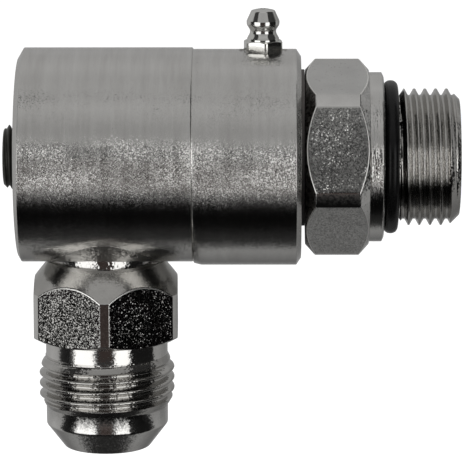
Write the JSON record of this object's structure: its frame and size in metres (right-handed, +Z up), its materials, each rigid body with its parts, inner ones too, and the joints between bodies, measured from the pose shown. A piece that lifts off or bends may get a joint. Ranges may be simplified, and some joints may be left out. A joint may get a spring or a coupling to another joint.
{
  "type": "hydraulic swivel joint",
  "caption": "Right-angle ball-bearing hydraulic swivel joint with an O-ring boss stud, a 37 degree flare port, wrench hexagons, a grease fitting and a threaded end plug.",
  "frame": {"origin": "on the swivel axis where the boss thread begins beside its undercut, 3.1 mm outward of the collar's sealing face", "axes": "+X along the swivel axis out of the boss stud; +Z up through the grease fitting at rest; the flare port points along -Z"},
  "size_m": [0.0897, 0.0426, 0.0878],
  "materials": {
    "plated_steel": "satin nickel-like plating over turned and blasted steel",
    "plated_adapter": "bright plating, blasted hexagon flats and turned thread",
    "bright_plating": "bright zinc plating, smooth turned",
    "bearing_steel": "ground and hardened",
    "spring_steel": "hardened, dull",
    "black_oxide_steel": "black oxide with an oily sheen",
    "braze_metal": "plated-over braze fillet, smooth",
    "nitrile_rubber": "matt black nitrile",
    "seal_plastic": "off-white filled PTFE"
  },
  "bodies": {
    "stem_side": {"stem": "plated_steel", "port_o_ring": "nitrile_rubber", "thrust_collar": "bearing_steel", "snap_ring": "spring_steel"},
    "barrel": {"elbow_body": "plated_steel", "bearing_housing": "plated_steel", "front_race": "bearing_steel", "rear_race": "bearing_steel", "bearing_shim": "spring_steel", "spigot_o_ring": "nitrile_rubber", "wiper_seal": "seal_plastic", "grease_seal": "nitrile_rubber", "pressure_o_ring": "nitrile_rubber", "rear_backup_ring": "seal_plastic", "front_backup_ring": "seal_plastic", "flare_adapter": "plated_adapter", "braze_ring": "braze_metal", "end_plug": "black_oxide_steel", "grease_fitting": "bright_plating", "check_spring": "spring_steel"},
    "ball_set": {"front_balls": "bearing_steel", "rear_balls": "bearing_steel"},
    "check_valve": {"check_ball": "bearing_steel"}
  },
  "joints": [
    {"name": "swivel", "type": "hinge", "parent": "stem_side", "child": "barrel", "pos_m": [0, 0, 0], "axis": [1, 0, 0], "continuous": true},
    {"name": "ball_orbit", "type": "hinge", "parent": "stem_side", "child": "ball_set", "pos_m": [0, 0, 0], "axis": [1, 0, 0], "continuous": true},
    {"name": "check_lift", "type": "slide", "parent": "barrel", "child": "check_valve", "axis": [0, 0, -1], "range_m": [0, 0.0006], "stiffness_N_per_m": 150, "springref_m": -0.002, "deforming": ["check_spring"]}
  ],
  "couplings": [
    {"joint": "ball_orbit", "follows": "swivel", "ratio": 0.548}
  ]
}
